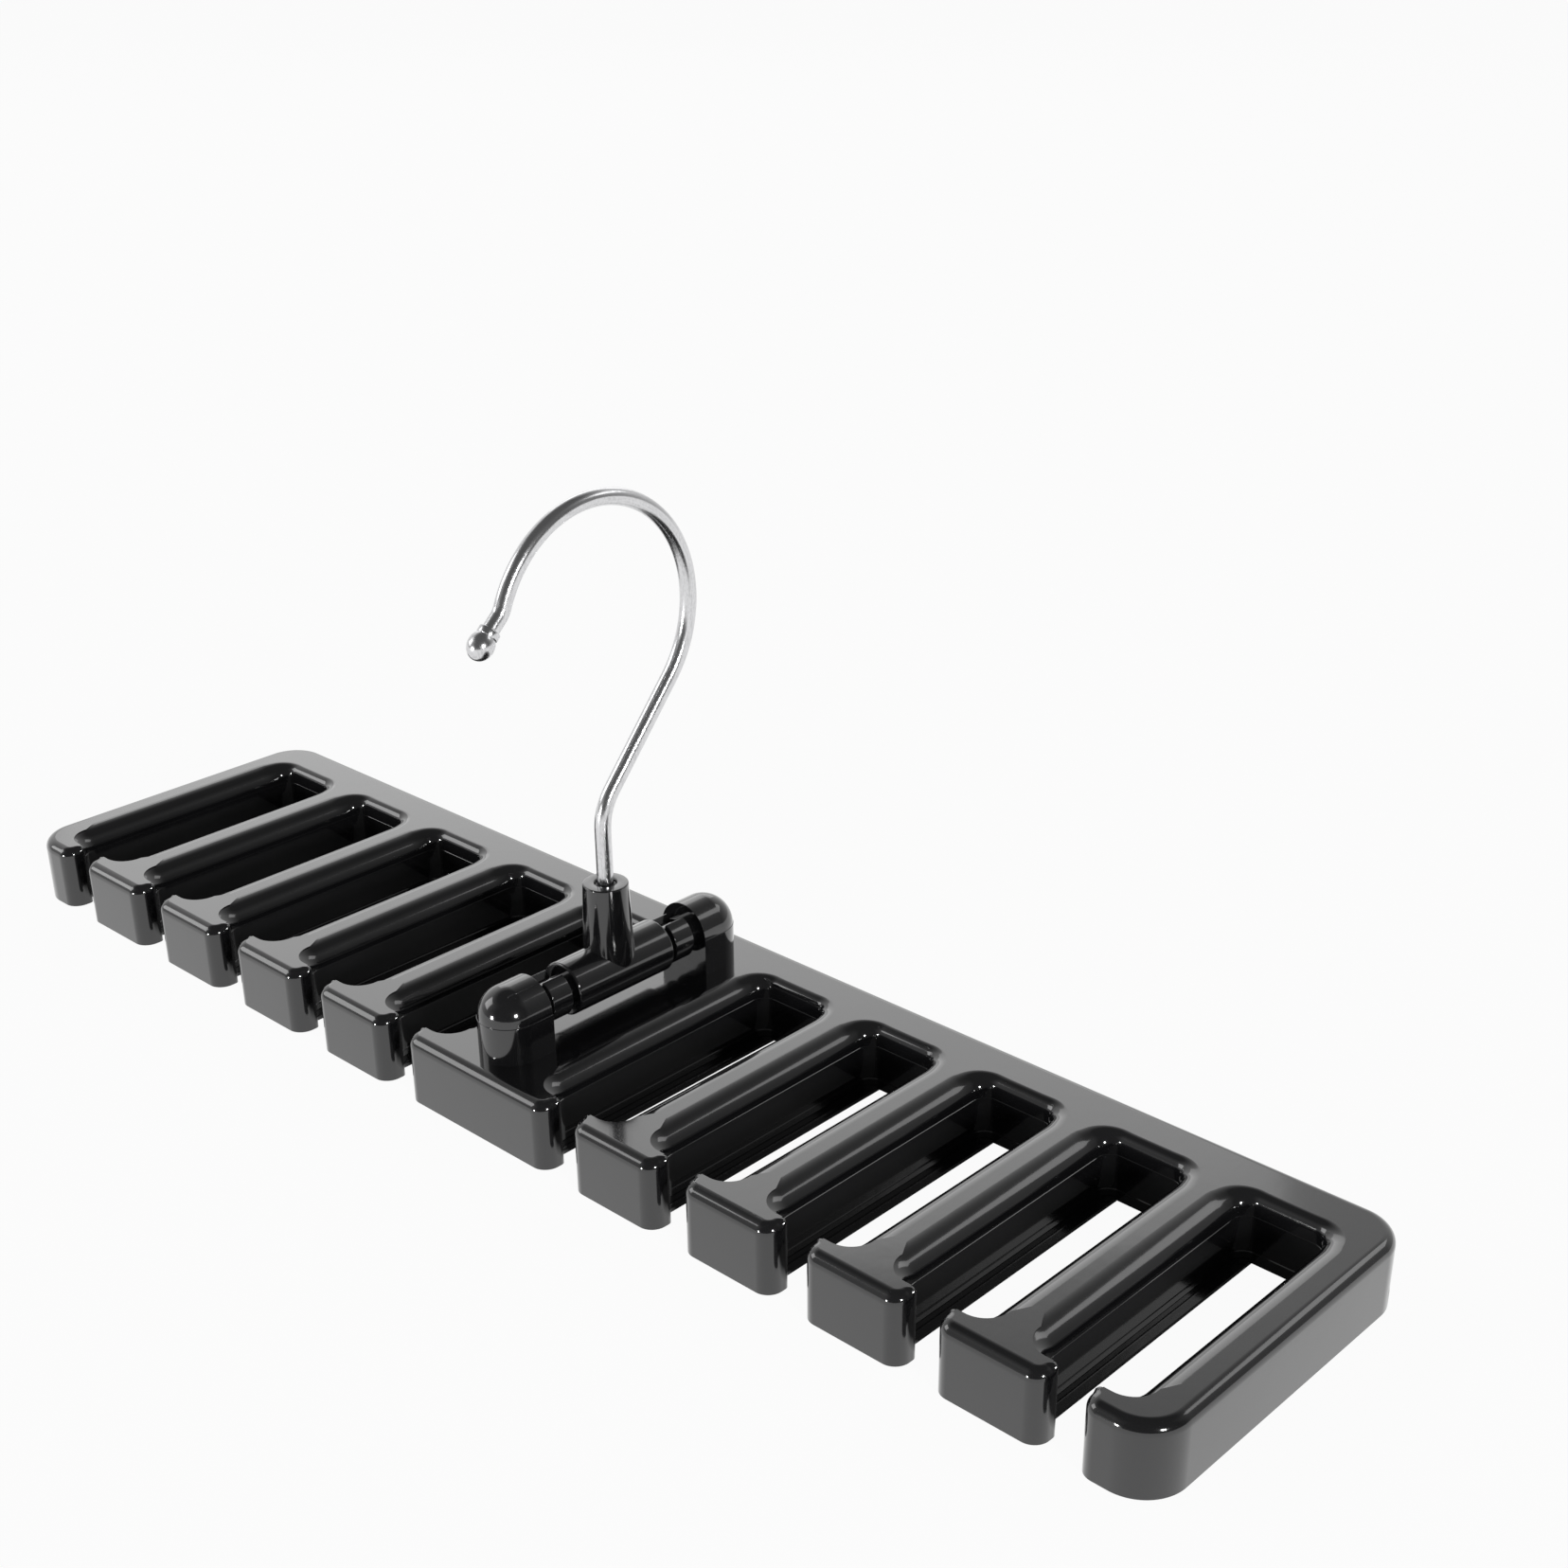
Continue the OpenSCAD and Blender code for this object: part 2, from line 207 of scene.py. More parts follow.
class Paint:
    # one material or world and the nodes that are added to it
    def __init__(self, tree):
        self.tree = tree
        self.tree.nodes.clear()

    def node(self, kind, settings, values, out=None):
        made = self.tree.nodes.new(kind)
        for name, value in settings.items():
            setattr(made, name, value)
        for name, value in values.items():
            if isinstance(value, Knob):
                self.tree.links.new(value.socket, made.inputs[name])
            else:
                made.inputs[name].default_value = value
        return made if out is None else Knob(self, made.outputs[out])

    def place(self, scale=(1, 1, 1), shift=(0, 0, 0)):
        here = self.node('ShaderNodeTexCoord', {}, {}, "Object")
        return self.node('ShaderNodeMapping', {}, {"Vector": here, "Scale": scale, "Location": shift}, 0)

    def noise(self, where, scale, detail=3, rough=0.5):
        return self.node('ShaderNodeTexNoise', {}, {"Vector": where, "Scale": scale, "Detail": detail,
                                                    "Roughness": rough}, 0)

    def mix(self, factor, first, second):
        return self.node('ShaderNodeMix', {"data_type": 'RGBA'}, {0: factor, 6: first, 7: second}, 2)

    def bump(self, height, distance, strength):
        return self.node('ShaderNodeBump', {}, {"Height": height, "Distance": distance,
                                                "Strength": strength}, 0)


def newMaterial(name):
    material = bpy.data.materials.new(name)
    material.use_nodes = True
    return material, Paint(material.node_tree)


# Gloss plastic, moulded, with a faint waviness and the finest handling marks

glossPlastic = {
    "dark": (0.005, 0.005, 0.0055, 1),
    "light": (0.010, 0.010, 0.011, 1),
    "roughness": 0.12,
    "roughSpread": 0.05,
    "ior": 1.52,
    "coat": 0.9,
    "coatRoughness": 0.07,
    "cloudScale": 60,
    "rippleScale": 170,
    "grainScale": 2600,
    "grainShare": 0.02,
    # handling marks: their stretch, and how much of the noise shows, and how strongly
    "marksScale": (1500, 130, 700),
    "marksFrom": 0.62,
    "marksGain": 5,
    "waviness": 0.00004,
    "bumpStrength": 0.6,
}


def makeGlossPlastic():
    material, paint = newMaterial("glossPlastic")
    where = paint.place()
    cloud = paint.noise(where, glossPlastic["cloudScale"], 2)
    ripple = paint.noise(where, glossPlastic["rippleScale"], 2)
    grain = paint.noise(where, glossPlastic["grainScale"], 2)
    marks = paint.noise(paint.place(glossPlastic["marksScale"]), 1, 3)
    scuff = ((marks - glossPlastic["marksFrom"]) * glossPlastic["marksGain"]).clamp()
    colour = paint.mix(cloud, glossPlastic["dark"], glossPlastic["light"])
    spread = glossPlastic["roughSpread"]
    rough = glossPlastic["roughness"] + (cloud - 0.5) * spread + scuff * spread
    height = ripple + grain * glossPlastic["grainShare"]
    shader = paint.node('ShaderNodeBsdfPrincipled', {}, {
        "Base Color": colour, "Roughness": rough, "IOR": glossPlastic["ior"],
        "Coat Weight": glossPlastic["coat"], "Coat Roughness": glossPlastic["coatRoughness"],
        "Normal": paint.bump(height, glossPlastic["waviness"], glossPlastic["bumpStrength"])}, 0)
    paint.node('ShaderNodeOutputMaterial', {}, {"Surface": shader})
    return material


# The hook's plated wire: bright, with fine streaks drawn along it

chromeWire = {
    "colour": (0.74, 0.74, 0.75, 1),
    "streakColour": (0.42, 0.42, 0.43, 1),
    "roughness": 0.2,
    "markRoughness": 0.16,
    # the loop's centre in Y and Z, and the height above which the wire is the loop
    "loopCentre": (-0.00015, 0.097),
    "loopFrom": 0.071,
    # streaks are drawn out along the wire, specks are nearly round
    "streakScale": 4200,
    "streakStretch": 0.06,
    "speckScale": (3800, 3800, 1400),
    "streakShare": 0.6,
    "speckShare": 0.5,
    "markFrom": 0.52,
    "markGain": 3,
    "bump": 0.00002,
    "speckBump": 0.6,
    "bumpStrength": 0.5,
}


def makeChromeWire():
    material, paint = newMaterial("chromeWire")
    middleY, middleZ = chromeWire["loopCentre"]
    here = paint.node('ShaderNodeTexCoord', {}, {}, "Object")
    axes = paint.node('ShaderNodeSeparateXYZ', {}, {"Vector": here})
    x, y, z = (Knob(paint, axes.outputs[i]) for i in range(3))
    away = ((y - middleY) * (y - middleY) + (z - middleZ) * (z - middleZ)) ** 0.5
    # the streaks follow the loop above its foot, and run straight up the shank below it
    onLoop = z.over(chromeWire["loopFrom"])
    across = away * onLoop + y * (1 - onLoop)
    along = (y + z) * chromeWire["streakStretch"]
    scale = chromeWire["streakScale"]
    track = paint.node('ShaderNodeCombineXYZ', {}, {0: x * scale, 1: across * scale, 2: along * scale}, 0)
    streak = paint.noise(track, 1, 4, 0.6)
    speck = paint.noise(paint.place(chromeWire["speckScale"]), 1, 3, 0.65)
    marks = streak * chromeWire["streakShare"] + speck * chromeWire["speckShare"]
    mark = ((marks - chromeWire["markFrom"]) * chromeWire["markGain"]).clamp()
    colour = paint.mix(mark, chromeWire["colour"], chromeWire["streakColour"])
    rough = chromeWire["roughness"] + mark * chromeWire["markRoughness"]
    relief = streak + speck * chromeWire["speckBump"]
    shader = paint.node('ShaderNodeBsdfPrincipled', {}, {
        "Base Color": colour, "Metallic": 1.0, "Roughness": rough,
        "Normal": paint.bump(relief, chromeWire["bump"], chromeWire["bumpStrength"])}, 0)
    paint.node('ShaderNodeOutputMaterial', {}, {"Surface": shader})
    return material


# Screws and washer, hidden inside: turned steel

turnedSteel = {
    "colour": (0.52, 0.53, 0.55, 1),
    "ringColour": (0.38, 0.39, 0.41, 1),
    "ringScale": (300, 300, 9000),
    "roughness": 0.28,
    "roughSpread": 0.2,
    "bump": 0.00002,
    "bumpStrength": 0.5,
}


def makeTurnedSteel():
    material, paint = newMaterial("turnedSteel")
    rings = paint.noise(paint.place(turnedSteel["ringScale"]), 1, 3)
    colour = paint.mix(rings, turnedSteel["colour"], turnedSteel["ringColour"])
    rough = turnedSteel["roughness"] + (rings - 0.5) * turnedSteel["roughSpread"]
    shader = paint.node('ShaderNodeBsdfPrincipled', {}, {
        "Base Color": colour, "Metallic": 1.0, "Roughness": rough,
        "Normal": paint.bump(rings, turnedSteel["bump"], turnedSteel["bumpStrength"])}, 0)
    paint.node('ShaderNodeOutputMaterial', {}, {"Surface": shader})
    return material


plastic = makeGlossPlastic()
chrome = makeChromeWire()
steel = makeTurnedSteel()
print("materials are made")


# Studio: a white floor, a white surround and soft lamps

studio = {
    "floorSize": 40,
    "floorWhite": (0.86, 0.86, 0.86, 1),
    "floorGrey": (0.84, 0.84, 0.84, 1),
    "floorCloud": 3,
    # how white the floor is made, as the camera sees it and as the rack mirrors it
    "floorLift": 0.95,
    "mirrorLift": 0.9,
    # the patch under the rack: half its length, half its width, soft edge, and shift along Y
    "mirrorFrom": (0.161, 0.0331, 0.003),
    "mirrorShift": 0.0031,
    "underShade": 0.5,
    # the light from all round on matt surfaces, and the mirrored ceiling's
    "fill": 0.14,
    "ceiling": 0.1,
    # the mirrored walls: their top, how fast they fade there, and their light to each side
    "wallTop": 0.60,
    "wallFade": 4,
    "wallLight": 0.28,
    "wallLeft": 0.5,
    "wallBack": 0.35,
    "lamps": [
        {"name": "backLeftPanel", "place": (-1.25, 1.2, 0.85), "size": (1.3, 0.8), "power": 2.4},
        {"name": "backRightPanel", "place": (0.55, 1.2, 1.05), "size": (0.75, 0.4), "power": 1.3},
        {"name": "frontLeftPanel", "place": (-1.5, -1.0, 0.95), "size": (0.9, 0.9), "power": 6},
        {"name": "leftSpot", "place": (-0.7, -2.9, 0.28), "size": (0.35, 0.35), "power": 32},
        {"name": "rightSpot", "place": (1.4, -0.42, 0.5), "size": (0.2, 0.2), "power": 9},
    ],
}


def setWorld():
    world = bpy.data.worlds.new("studioWorld")
    bpy.context.scene.world = world
    world.use_nodes = True
    paint = Paint(world.node_tree)
    ray = paint.node('ShaderNodeLightPath', {}, {})
    straight = Knob(paint, ray.outputs["Is Camera Ray"])
    seen = straight.atLeast(Knob(paint, ray.outputs["Is Transmission Ray"]))
    glossy = Knob(paint, ray.outputs["Is Glossy Ray"])
    direction = paint.node('ShaderNodeTexCoord', {}, {}, "Generated")
    axes = paint.node('ShaderNodeSeparateXYZ', {}, {"Vector": direction})
    right, back, up = (Knob(paint, axes.outputs[i]) for i in range(3))
    # the plastic mirrors walls that are light on the left and behind, and a dark ceiling
    wall = (1 - (up - studio["wallTop"]) * studio["wallFade"]).clamp()
    side = (studio["wallLight"] - right * studio["wallLeft"] + back * studio["wallBack"]).clamp()
    mirrored = studio["ceiling"] + wall * side * (1 - studio["ceiling"])
    strength = (seen + (1 - seen) * (glossy * mirrored + (1 - glossy) * studio["fill"])).clamp()
    light = paint.node('ShaderNodeBackground', {}, {"Color": (1, 1, 1, 1), "Strength": strength}, 0)
    paint.node('ShaderNodeOutputWorld', {}, {"Surface": light})


def layFloor():
    startPiece()
    bpy.ops.mesh.primitive_plane_add(size=studio["floorSize"], location=(0, 0, 0))
    floor = takePiece("studioFloor")
    material, paint = newMaterial("whiteFloor")
    ray = paint.node('ShaderNodeLightPath', {}, {})
    seen = Knob(paint, ray.outputs["Is Camera Ray"])
    glossy = Knob(paint, ray.outputs["Is Glossy Ray"])
    # the rack mirrors a white floor round itself, and a floor in half shade under itself
    axes = paint.node('ShaderNodeSeparateXYZ', {}, {"Vector": paint.place()})
    halfX, halfY, blur = studio["mirrorFrom"]
    outX = (Knob(paint, axes.outputs[0]).size() - halfX) * (1 / blur)
    outY = ((Knob(paint, axes.outputs[1]) - studio["mirrorShift"]).size() - halfY) * (1 / blur)
    clear = outX.atLeast(outY).clamp()
    lift = seen * studio["floorLift"] + glossy * clear * studio["mirrorLift"]
    cloud = paint.noise(paint.place(), studio["floorCloud"], 2)
    colour = paint.mix(cloud, studio["floorWhite"], studio["floorGrey"])
    colour = paint.mix(glossy * (1 - clear) * studio["underShade"], colour, (0, 0, 0, 1))
    matt = paint.node('ShaderNodeBsdfDiffuse', {}, {"Color": colour}, 0)
    glow = paint.node('ShaderNodeEmission', {}, {"Color": (1, 1, 1, 1), "Strength": 1.0}, 0)
    both = paint.node('ShaderNodeMixShader', {}, {0: lift, 1: matt, 2: glow}, 0)
    paint.node('ShaderNodeOutputMaterial', {}, {"Surface": both})
    floor.data.materials.append(material)


def hangLamps():
    for lamp in studio["lamps"]:
        startPiece()
        bpy.ops.object.light_add(type='AREA', location=lamp["place"])
        light = bpy.context.object
        light.name = lamp["name"]
        light.data.shape = 'RECTANGLE'
        light.data.size, light.data.size_y = lamp["size"]
        light.data.energy = lamp["power"]
        aim = Vector((0, 0, 0.03)) - Vector(lamp["place"])
        light.rotation_euler = aim.to_track_quat('-Z', 'Y').to_euler()
        light.visible_camera = False


setWorld()
layFloor()
hangLamps()
print("studio is lit")


# Rack shell. Its top edges change their rounding from place to place: wide along the
# teeth, small at the mouths, and cut off short by a crisp shoulder behind each head.
# No bevel does that, so the outline is walked once and each point gets its own section.

rack = {
    "height": 14.8, "half": 164.0, "frontY": -39.15, "backY": 39.15,
    "slots": [side * (24.8 + 30 * n) for side in (-1, 1) for n in range(5)],
    "slotHalf": 8.8, "slotFront": 5.5, "slotBack": 66.9, "backRound": 3.0,
    "mouthHalf": 3.7, "mouthRound": 3.3, "frontCorner": 5.1, "tipRound": 1.1,
    "outerCorner": 9.0, "edgeRound": 2.4, "mouthEdge": 2.0,
    "toothRound": (5.0, 4.2), "spineEdge": 2.3,
    "shoulder": (6.6, 10.3, 5.3), "shoulderFront": 5.0, "shoulderRun": 3.6,
    "rim": 1.7, "lowest": 0.39, "rimTop": 2.4, "ledgeGap": 0.9, "ledgeInner": 6.15,
    "blendRun": (-2.5, 5.5), "arcStep": 6.0, "edgeSteps": 12, "hair": 0.001,
    "mouthSteps": 5, "tipSteps": 4, "shoulderSteps": 8, "wallSteps": 40, "backStops": (4.0, 2.0, 0.0),
    # a slot wall's section up to the seam: how far in, and how high
    "wallRows": [(0.34, 2.05), (0.20, 2.2), (0.20, 2.45), (0.32, 2.6),
                 (0.03, 10.30), (0.13, 10.38), (0.13, 10.52), (0.0, 10.6)],
}


def railPoint(x, y, inX, inY, across, down, reach=None, floor=0.0, inSlot=False):
    return {"at": (x, y), "in": (inX, inY), "across": across, "down": down,
            "reach": across if reach is None else min(reach, across), "floor": floor, "inSlot": inSlot}


def shoulderReach(x, y, inX, inY):
    # how far a point on the slot's wall is from the shoulder, straight into the tooth
    centreX, centreY, radius = rack["shoulder"]
    offX, offY = centreX - x, centreY - y
    along = inX * offX + inY * offY
    hit = along + math.sqrt(max(along * along - offX * offX - offY * offY + radius * radius, 0.0))
    if inY < -0.01:
        toFront = (rack["shoulderFront"] - y) / inY
        if x + inX * toFront < centreX:
            hit = toFront
    return hit


def spineBlend(past):
    # 0 on the tooth and 1 on the spine; past is the way gone beyond the start of the back corner
    begin, end = rack["blendRun"]
    part = min(max((past - begin) / (end - begin), 0.0), 1.0)
    return part * part * (3 - 2 * part)


def slotSide():
    # one side of a slot, from the front face to the middle of its back wall, for x > 0
    points = []
    wide, deep = rack["toothRound"]
    edge, mouthEdge, tip = rack["edgeRound"], rack["mouthEdge"], rack["tipRound"]
    mouth, round0, half = rack["mouthHalf"], rack["mouthRound"], rack["slotHalf"]
    steps = int(90 / rack["arcStep"])
    for i in range(steps + 1):
        angle = math.radians(270 - 90 * i / steps)
        size = edge + (mouthEdge - edge) * i / steps
        x, y = mouth + round0 + round0 * math.cos(angle), round0 + round0 * math.sin(angle)
        points.append(railPoint(x, y, -math.cos(angle), -math.sin(angle), size, size))
    tipY = rack["slotFront"] - tip
    for i in range(1, rack["mouthSteps"]):
        part = i / rack["mouthSteps"]
        size = mouthEdge + (tip - mouthEdge) * part * part
        points.append(railPoint(mouth, round0 + (tipY - round0) * part, 1, 0, size, size))
    for i in range(rack["tipSteps"] + 1):
        angle = math.radians(180 - 90 * i / rack["tipSteps"])
        points.append(railPoint(mouth + tip + tip * math.cos(angle), tipY + tip * math.sin(angle),
                                -math.cos(angle), -math.sin(angle), tip, tip))
    corner = rack["frontCorner"]
    cornerY = rack["slotFront"] + corner
    first = math.degrees(math.asin(tip / corner))
    steps = int(90 / rack["arcStep"]) + 4
    for i in range(steps + 1):
        angle = math.radians(270 + first + (90 - first) * i / steps)
        x, y = mouth + corner * math.cos(angle), cornerY + corner * math.sin(angle)
        floor = rack["ledgeGap"] if x > rack["ledgeInner"] else 0.0
        points.append(railPoint(x, y, math.cos(angle), math.sin(angle), wide, deep,
                                shoulderReach(x, y, math.cos(angle), math.sin(angle)), floor, True))
    nearReach = points[-1]["reach"]
    backRound, spineEdge = rack["backRound"], rack["spineEdge"]
    run = rack["shoulderRun"]
    backY = rack["slotBack"] - rack["backRound"]
    near, far = rack["shoulderSteps"], rack["wallSteps"]
    stations = [run * i / near for i in range(1, near + 1)]
    stations += [run + (backY - cornerY - run) * i / far for i in range(1, far)]
    for station in stations:
        part = min(station / run, 1.0)
        blend = spineBlend(station - (backY - cornerY))
        points.append(railPoint(half, cornerY + station, 1, 0, wide + (spineEdge - wide) * blend,
                                deep + (spineEdge - deep) * blend, nearReach + (wide - nearReach) * part,
                                rack["ledgeGap"], True))
    steps = int(90 / rack["arcStep"])
    for i in range(steps + 1):
        angle = math.radians(90 * i / steps)
        part = spineBlend(backRound * angle)
        x = half - backRound + backRound * math.cos(angle)
        floor = rack["ledgeGap"] if x > rack["ledgeInner"] else 0.0
        points.append(railPoint(x, backY + backRound * math.sin(angle), math.cos(angle), math.sin(angle),
                                wide + (spineEdge - wide) * part, deep + (spineEdge - deep) * part, None,
                                floor, True))
    for x in rack["backStops"]:
        points.append(railPoint(x, rack["slotBack"], 0, 1, spineEdge, spineEdge, None, 0.0, True))
    return points


def rimPoint(point, atSlot):
    # where the shell's lower rim ends, with a square corner inside each head's tip
    inset = rack["rim"] + rack["lowest"]
    x = point["at"][0] + point["in"][0] * inset
    y = point["at"][1] + point["in"][1] * inset
    if atSlot:
        x = max(x, rack["mouthHalf"] + inset)
        inTip = point["at"][0] <= rack["mouthHalf"] + rack["tipRound"]
        if inTip and point["at"][1] < rack["slotFront"] + rack["hair"]:
            y = min(y, rack["slotFront"] - inset)
    return x, y


def moved(point, sign, shift):
    # a point of the slot's right side, or of its mirror image, at a slot's own place
    copy = dict(point)
    copy["at"] = (sign * point["at"][0] + shift, point["at"][1])
    copy["in"] = (sign * point["in"][0], point["in"][1])
    rimX, rimY = rimPoint(point, True)
    copy["rim"] = (sign * rimX + shift, rimY)
    return copy


def rackOutline():
    side = slotSide()
    edge, corner, half = rack["edgeRound"], rack["outerCorner"], rack["half"]
    depth = rack["backY"] - rack["frontY"]
    outline = []
    for slotX in sorted(rack["slots"]):
        outline += [moved(p, -1, slotX) for p in side]
        outline += [moved(p, 1, slotX) for p in reversed(side[:-1])]
    corners = [(half - corner, corner, -90), (half - corner, depth - corner, 0),
               (corner - half, depth - corner, 90), (corner - half, corner, 180)]
    steps = int(90 / rack["arcStep"]) * 2
    for centreX, centreY, start in corners:
        for i in range(steps + 1):
            angle = math.radians(start + 90 * i / steps)
            point = railPoint(centreX + corner * math.cos(angle), centreY + corner * math.sin(angle),
                              -math.cos(angle), -math.sin(angle), edge, edge)
            point["rim"] = rimPoint(point, False)
            outline.append(point)
    return outline


def sectionRows(point):
    # one section of the shell, from its lower rim up and over the top edge
    height = rack["height"]
    # outside the slots the walls are plain
    wall = [(rack["lowest"], point["floor"])] + rack["wallRows"]
    rows = [(inset if point["inSlot"] else 0.0, z) for inset, z in wall]
    across, down, reach = point["across"], point["down"], point["reach"]
    last = math.acos(max(1 - reach / across, 0.0))
    for i in range(rack["edgeSteps"] + 1):
        angle = last * i / rack["edgeSteps"]
        rows.append((across * (1 - math.cos(angle)), height - down + down * math.sin(angle)))
    rows.append((reach, height))
    return rows


def buildRackShell():
    outline = rackOutline()
    verts = []
    for point in outline:
        rimX, rimY = point["rim"]
        for z in (rack["rimTop"], point["floor"]):
            verts.append((rimX * mm, (rimY + rack["frontY"]) * mm, z * mm))
        for inset, z in sectionRows(point):
            x = point["at"][0] + point["in"][0] * inset
            y = point["at"][1] + point["in"][1] * inset + rack["frontY"]
            verts.append((x * mm, y * mm, z * mm))
    rows = len(sectionRows(outline[0])) + 2
    count = len(outline)
    faces = []
    for i in range(count):
        here, there = i * rows, (i + 1) % count * rows
        for k in range(rows - 1):
            faces.append((here + k, there + k, there + k + 1, here + k + 1))
    faces.append([i * rows + rows - 1 for i in range(count)])
    faces.append([i * rows for i in reversed(range(count))])
    mesh = bpy.data.meshes.new("rackShell")
    mesh.from_pydata(verts, [], faces)
    mesh.validate()
    piece = bpy.data.objects.new("rackShell", mesh)
    bpy.context.scene.collection.objects.link(piece)
    closeUp(piece)
    finishPiece(piece, "rack", plastic, ["rack_shell"], 35)


buildRackShell()


# Posts: a block with a round end, under a dome with a fine step round it

post = {
    "axisZ": 23.0, "hingeY": -1.2, "inner": 21.3, "domeY": 27.0, "radius": 6.6,
    "step": 0.12, "foot": 14.6, "edge": 0.25,
}


def buildPost(name, side, node):
    centre = (0, (post["hingeY"] + side * post["domeY"]) * mm, post["axisZ"] * mm)
    innerY = (post["hingeY"] + side * post["inner"]) * mm
    radius = (post["radius"] - post["step"]) * mm
    startPiece()
    bpy.ops.mesh.primitive_uv_sphere_add(segments=96, ring_count=48, radius=radius, location=centre)
    piece = takePiece(name)
    bpy.ops.object.mode_set(mode='EDIT')
    bpy.ops.mesh.select_all(action='SELECT')
    bpy.ops.mesh.bisect(plane_co=centre, plane_no=(0, 0, 1), clear_inner=True)
    bpy.ops.mesh.select_all(action='SELECT')
    bpy.ops.mesh.bisect(plane_co=centre, plane_no=(0, side, 0), clear_inner=True)
    # the roof of the post runs in from the dome to the inner face
    selectVerts(piece, lambda v: abs(v.y - centre[1]) < tiny)
    pushEdges((0, innerY - centre[1], 0))
    # the step, and then the straight walls down to the rack
    selectVerts(piece, lambda v: abs(v.z - centre[2]) < tiny)
    pushEdges((0, 0, 0))
    grow = post["radius"] / (post["radius"] - post["step"])
    bpy.ops.transform.resize(value=(grow, grow, 1), center_override=centre)
    pushEdges((0, 0, (post["foot"] - post["axisZ"]) * mm))
    # the underside and the inner face
    selectVerts(piece, lambda v: v.z < post["foot"] * mm + tiny)
    bpy.ops.mesh.edge_face_add()
    bpy.ops.mesh.select_all(action='DESELECT')
    bpy.ops.mesh.select_non_manifold()
    bpy.ops.mesh.edge_face_add()
    bpy.ops.object.mode_set(mode='OBJECT')
    closeUp(piece)
    softenEdges(piece, post["edge"] * mm, 3)
    finishPiece(piece, "rack", plastic, [node])


buildPost("frontPost", -1, "front_post")
buildPost("rearPost", 1, "rear_post")


# Bushes: a collar with a gap along its top, and the hub that goes into the post

bush = {
    "radius": 5.0, "bore": 3.25, "start": 14.45, "length": 5.1, "split": 4.8, "turn": -8,
    "hubRadius": 3.7, "hubEnd": 22.5, "hubLap": 0.5, "hubEdge": 0.15, "edge": 0.25,
}


def buildBush(name, side, node):
    middleY = (post["hingeY"] + side * (bush["start"] + bush["length"] / 2)) * mm
    axisZ = post["axisZ"] * mm
    startPiece()
    bpy.ops.mesh.primitive_cylinder_add(vertices=144, radius=bush["radius"] * mm, depth=bush["length"] * mm,
                                        end_fill_type='NOTHING', location=(0, middleY, axisZ),
                                        rotation=(math.radians(90), 0, 0))
    piece = takePiece(name)
    turn = math.radians(bush["turn"])
    bpy.ops.object.mode_set(mode='EDIT')
    # two cuts beside the gap, and what lies between them goes
    for sign in (-1, 1):
        cutAt = (sign * bush["split"] / 2 * mm * math.cos(turn), middleY,
                 axisZ - sign * bush["split"] / 2 * mm * math.sin(turn))
        bpy.ops.mesh.select_all(action='SELECT')
        bpy.ops.mesh.bisect(plane_co=cutAt, plane_no=(math.cos(turn), 0, -math.sin(turn)))
    bpy.ops.object.mode_set(mode='OBJECT')
    bpy.ops.object.transform_apply(location=True, rotation=True, scale=True)
    bpy.ops.object.mode_set(mode='EDIT')
    bpy.ops.mesh.select_mode(type='FACE')
    bpy.ops.mesh.select_all(action='DESELECT')
    bpy.ops.object.mode_set(mode='OBJECT')
    for face in piece.data.polygons:
        x, z = face.center.x, face.center.z - axisZ
        across = x * math.cos(turn) - z * math.sin(turn)
        up = x * math.sin(turn) + z * math.cos(turn)
        face.select = abs(across) < bush["split"] / 2 * mm and up > 0
    bpy.ops.object.mode_set(mode='EDIT')
    bpy.ops.mesh.delete(type='FACE')
    bpy.ops.object.mode_set(mode='OBJECT')
    wall = piece.modifiers.new("wall", 'SOLIDIFY')
    wall.thickness = (bush["radius"] - bush["bore"]) * mm
    wall.offset = -1
    softenEdges(piece, bush["edge"] * mm, 3)
    applyAll(piece)
    # the hub runs from the collar into the post
    hubLength = bush["hubEnd"] - bush["start"] - bush["length"] + bush["hubLap"]
    hubY = (post["hingeY"] + side * (bush["hubEnd"] - hubLength / 2)) * mm
    hub = roundBar("hub", 96, bush["hubRadius"], hubLength, (0, hubY, axisZ),
                   (math.radians(90), 0, 0), bush["hubEdge"], 2)
    joinPieces(piece, [hub])
    finishPiece(piece, "rack", plastic, [node])


buildBush("frontBush", -1, "front_bush")
buildBush("rearBush", 1, "rear_bush")


# Yoke: the barrel with its stub axles, and the boss with the hole for the wire

yoke = {
    "barrelRadius": 5.7, "barrelLength": 26.2, "barrelEdge": 0.45,
    "axleRadius": 3.2, "axleLength": 54.1, "axleEdge": 0.2,
    "bossBase": 5.45, "bossTop": 4.67, "bossHeight": 19.4, "bossEdge": 0.4,
    "ringRadius": 2.3, "ringDepth": 0.8, "holeRadius": 1.75, "holeDepth": 3.0,
}


